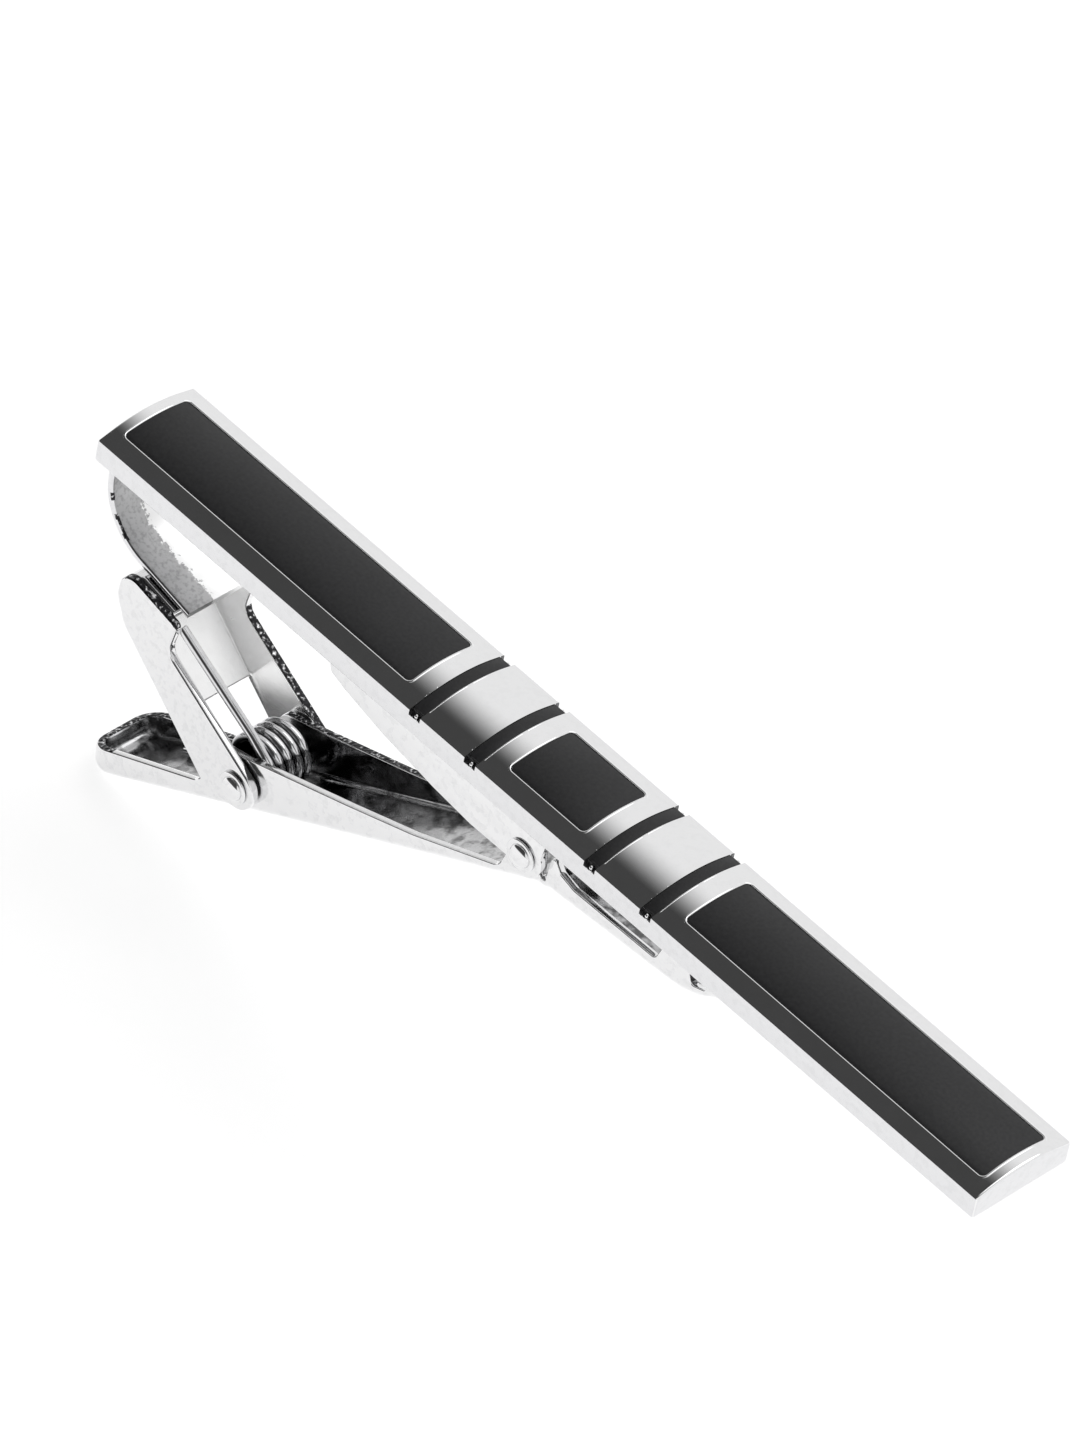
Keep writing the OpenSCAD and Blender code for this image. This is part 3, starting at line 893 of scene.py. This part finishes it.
def brace_looks(c, n):
    """Sheared metal on the near top edge and the far arm's edge, and painted light inside: a paler tint."""
    near_top = c.y < 0.01 - PLATE_IN_Y and n.z > 0.35 and c.z > -6.2
    far_edge = c.y > PLATE_IN_Y - 0.01 and n.x * 0.4745 + n.z * 0.88 > 0.6 and c.x > -22.9 and c.x < -17.2
    if near_top or far_edge:
        return 1
    inside = abs(c.y) < PLATE_IN_Y + 0.01 and (c.y * n.y < 0 or n.x > 0.3) and c.x > -26.2
    return 2 if inside else 0


finish_piece(
    brace, "brace_body", "brace", ["clasp_brace"],
    [M_BRACE, M_EDGE, M_BRACE_IN_LIT], pick=brace_looks,
)

# ---------------------------------------------------------------- bracket


def strip(name, path, half_w, thickness, edge):
    """Sheet strip: path [(x, z)] along its outer face, thickness to the left of the path's direction."""
    rings = []
    path = [np.array(p, float) for p in path]
    for i, here in enumerate(path):
        before, after = path[max(i - 1, 0)], path[min(i + 1, len(path) - 1)]
        along = (after - before) / np.linalg.norm(after - before)
        left = np.array([-along[1], along[0]])
        ring = []
        for cy, ct, a0 in ((1, 0, -90), (1, 1, 0), (-1, 1, 90), (-1, 0, 180)):
            for k in range(4):
                a = math.radians(a0 + 30 * k)
                y = cy * (half_w - edge) + edge * math.cos(a)
                t = (edge if ct == 0 else thickness - edge) + edge * math.sin(a)
                p = here + left * t
                ring.append((p[0], y, p[1]))
        rings.append(ring)
    return blank(name, *ring_mesh(rings))


end_x = TONGUE_BEND[0] - TONGUE_R
top_x = end_x + TONGUE_TOP_R
path = [(BASE_START_X, -0.001), (-20, -0.001), (top_x + 0.3, -0.001)]
for k in range(13):
    a = math.radians(90 + 90 * k / 12)
    path.append((top_x + TONGUE_TOP_R * math.cos(a), -TONGUE_TOP_R + TONGUE_TOP_R * math.sin(a)))
for k in range(33):
    a = math.radians(180 + (TONGUE_TAIL_ANGLE - 180) * k / 32)
    path.append((TONGUE_BEND[0] + TONGUE_R * math.cos(a), TONGUE_BEND[1] + TONGUE_R * math.sin(a)))
tail = math.radians(TONGUE_TAIL_ANGLE)
corner = path[-1]
for t in (0.3, 0.6, 1.0):
    reach = TONGUE_TAIL_L * t
    path.append((corner[0] - reach * math.sin(tail), corner[1] + reach * math.cos(tail)))
bracket = strip("bracket_body", path, TONGUE_HALF_W, SHEET, TONGUE_EDGE_R)
base = slab("base", rounded(EAR_OUTLINE, 10), -EAR_OUT_Y, EAR_OUT_Y)
between_ears = [(-14, -4), (2, -4), (2, -SHEET), (-14, -SHEET)]
combine(base, "DIFFERENCE", slab("hollow", between_ears, -PLATE_IN_Y, PLATE_IN_Y))
combine(base, "DIFFERENCE", bore(MAIN_PIVOT, MAIN_PIN_R + PIN_FIT))
tidy(base)
bevel(base, 0.06, 3, 40)
combine(bracket, "UNION", base)


def bracket_looks(c, n):
    """Tongue: sheared marks in its near corner, side darkened with painted shade, dull inner face greyed with
    a painted reflection. Base: polished underside.
    """
    on_tongue = c.x < -22
    below_bend = c.z < -1.2
    inner_corner = n.y < -0.2 and (n.x > 0.2 or n.z > 0.2) and c.y < -1.6
    dark_stretch = -4.25 < c.z < -3.3 or -2.75 < c.z < -2.3
    if on_tongue and inner_corner and dark_stretch:
        return 1
    if on_tongue and below_bend and c.y < -1.7 and n.y < -0.5:
        return 3
    if n.z < -0.9 and c.z > -SHEET - 0.02:
        return 4
    inner_face = (n.x > 0.25 or n.z > 0.5) and abs(n.y) < 0.5
    return 2 if on_tongue and below_bend and inner_face else 0


finish_piece(
    bracket, "bracket_body", "bar", ["clasp_bracket"],
    [M_CLASP, M_EDGE, M_SATIN_REFLECTION, M_SIDE_SHADE, M_BAR], pick=bracket_looks,
)

# ---------------------------------------------------------------- rivets and spring


def rivet(name, pivot, r, plate_y, body, replaced):
    """Shank with a low domed head at each end, turned as one profile."""
    head_y = plate_y + HEAD_GAP
    half = [
        (r, 0.0), (r, head_y - 0.03), (r + 0.02, head_y), (HEAD_R - 0.04, head_y), (HEAD_R, head_y + 0.04),
        (HEAD_R, head_y + 0.09), (HEAD_R - 0.03, head_y + 0.12),
        (DOME_R + 0.07, head_y + 0.13), (DOME_R, head_y + 0.09),
    ]
    dome_end = math.radians(85)
    for k in range(11):
        a = dome_end * k / 10
        half.append((DOME_R * math.cos(a), head_y + 0.1 + (HEAD_H - 0.1) * math.sin(a) / math.sin(dome_end)))
    line = [(q[0], -q[1]) for q in reversed(half[1:])] + half
    rings = [[(x, y, z) for x, z in disc(pivot, q, RIVET_SIDES)] for q, y in line]
    made = blank(name, *ring_mesh(rings))
    finish_piece(made, name, body, replaced, [M_CLASP], 50)


rivet("main_rivet", MAIN_PIVOT, MAIN_PIN_R, EAR_OUT_Y, "bar", ["main_pivot_pin"])
rivet("brace_rivet", BRACE_PIVOT, BRACE_PIN_R, BRACE_OUT_Y, "lever", ["brace_pivot_pin"])

first_a = UPPER_LEG - math.pi / 2
last_a = FLOOR_ANGLE - math.pi / 2
sweep = 2 * math.pi * COIL_TURNS + first_a - last_a
coil = []
for i in range(COIL_STEPS + 1):
    turned = sweep * i / COIL_STEPS
    a = first_a - turned
    coil.append((
        COIL_CENTRE[0] + COIL_R * math.cos(a),
        COIL_FIRST_Y + COIL_PITCH * turned / (2 * math.pi),
        COIL_CENTRE[1] + COIL_R * math.sin(a),
    ))
upper = [
    (
        coil[0][0] + UPPER_LEG_L * f * math.cos(UPPER_LEG),
        coil[0][1] - LEG_SPREAD * max(0, f * UPPER_LEG_L - LEG_KNEE) / (UPPER_LEG_L - LEG_KNEE),
        coil[0][2] + UPPER_LEG_L * f * math.sin(UPPER_LEG),
    )
    for f in (1, 0.995, 0.9, 0.8, 0.7, 0.6, 0.5, 0.4, 0.3, LEG_KNEE / UPPER_LEG_L, 0.1, 0.03)
]
lower = [
    (
        coil[-1][0] - LOWER_LEG_L * f * math.cos(FLOOR_ANGLE),
        coil[-1][1],
        coil[-1][2] - LOWER_LEG_L * f * math.sin(FLOOR_ANGLE),
    )
    for f in (0.03, 0.2, 0.6, 0.995, 1)
]
route = [np.array(p) for p in upper + coil + lower]
wire_rings = []
for i, here in enumerate(route):
    along = route[min(i + 1, len(route) - 1)] - route[max(i - 1, 0)]
    along /= np.linalg.norm(along)
    side = np.cross(along, [0, 1, 0])
    side /= np.linalg.norm(side)
    over = np.cross(side, along)
    r = WIRE_R * (0.8 if i in (0, len(route) - 1) else 1)
    turns = [2 * math.pi * k / WIRE_SIDES for k in range(WIRE_SIDES)]
    wire_rings.append([tuple(here + r * (math.cos(a) * side + math.sin(a) * over)) for a in turns])
spring = blank("spring_wire", *ring_mesh(wire_rings))
finish_piece(spring, "spring_wire", None, ["torsion_spring"], [M_WIRE], 50)
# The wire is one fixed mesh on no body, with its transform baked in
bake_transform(spring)

# ---------------------------------------------------------------- floor, light and camera

low_z = cad_box[0][2]
FLOOR_HALF = 0.6
FLOOR_GREY = 0.60
FLOOR_GLOW = 0.74
CAMERA_PLACE = (0.3219, -0.4193, 0.5250)
FOCAL_MM = 412.9
SENSOR_MM = 36.0
floor_mesh = bpy.data.meshes.new("floor")
floor_mesh.from_pydata(
    [(sx * FLOOR_HALF, sy * FLOOR_HALF, low_z) for sx, sy in ((-1, -1), (1, -1), (1, 1), (-1, 1))],
    [], [(0, 1, 2, 3)],
)
floor = bpy.data.objects.new("floor", floor_mesh)
bpy.context.scene.collection.objects.link(floor)
floor_mat, _, floor_bsdf = principled("pale_floor")
floor_bsdf.inputs["Base Color"].default_value = (FLOOR_GREY, FLOOR_GREY, FLOOR_GREY, 1)
floor_bsdf.inputs["Roughness"].default_value = 0.85
floor_bsdf.inputs["Emission Color"].default_value = (1, 1, 1, 1)
floor_bsdf.inputs["Emission Strength"].default_value = FLOOR_GLOW
floor_mesh.materials.append(floor_mat)

world = bpy.data.worlds.new("studio")
bpy.context.scene.world = world
world.use_nodes = True
wt = world.node_tree
background = wt.nodes["Background"]
direction = wt.nodes.new("ShaderNodeTexCoord")


def smooth(source, low, high, out_low, out_high):
    made = wt.nodes.new("ShaderNodeMapRange")
    made.interpolation_type = "SMOOTHSTEP"
    for key, value in (("From Min", low), ("From Max", high), ("To Min", out_low), ("To Max", out_high)):
        made.inputs[key].default_value = value
    wt.links.new(source, made.inputs["Value"])
    return made.outputs["Result"]


def largest(a, b):
    made = wt.nodes.new("ShaderNodeMath")
    made.operation = "MAXIMUM"
    wt.links.new(a, made.inputs[0])
    wt.links.new(b, made.inputs[1])
    return made.outputs["Value"]


# Light from behind, from the +X end and from below; dark above and on the near side
axes = wt.nodes.new("ShaderNodeSeparateXYZ")
wt.links.new(direction.outputs["Generated"], axes.inputs["Vector"])
brightness = largest(
    largest(
        smooth(axes.outputs["Y"], 0.18, 0.58, 0.055, 0.87),
        smooth(axes.outputs["X"], 0.48, 0.62, 0.0, 0.92),
    ),
    smooth(axes.outputs["Z"], -0.05, 0.12, 0.92, 0.0),
)
to_colour = wt.nodes.new("ShaderNodeCombineColor")
for channel in ("Red", "Green", "Blue"):
    wt.links.new(brightness, to_colour.inputs[channel])
wt.links.new(to_colour.outputs["Color"], background.inputs["Color"])
background.inputs["Strength"].default_value = 1.0


def area_light(name, place, aim, size, power):
    data = bpy.data.lights.new(name, "AREA")
    data.shape = "DISK"
    data.size = size
    data.energy = power
    lamp = bpy.data.objects.new(name, data)
    bpy.context.scene.collection.objects.link(lamp)
    lamp.location = place
    lamp.rotation_euler = (Vector(aim) - Vector(place)).to_track_quat("-Z", "Y").to_euler()
    return lamp


area_light("softbox_top", (0.05, 0.25, 0.55), (0, 0, 0), 0.5, 0.75)

bpy.context.scene.view_settings.view_transform = "Standard"

right = Vector((0.6818, 0.7158, 0.1508))
up = Vector((-0.587, 0.4124, 0.6967))
back = Vector((0.4365, -0.5635, 0.7014))
camera_data = bpy.data.cameras.new("camera")
camera_data.sensor_fit = "VERTICAL"
camera_data.sensor_height = SENSOR_MM
camera_data.lens = FOCAL_MM
camera_data.clip_start = 0.01
camera_data.clip_end = 10.0
camera = bpy.data.objects.new("camera", camera_data)
bpy.context.scene.collection.objects.link(camera)
turn = Matrix((right, up, back)).transposed().to_4x4()
camera.matrix_world = Matrix.Translation(CAMERA_PLACE) @ turn
bpy.context.scene.camera = camera
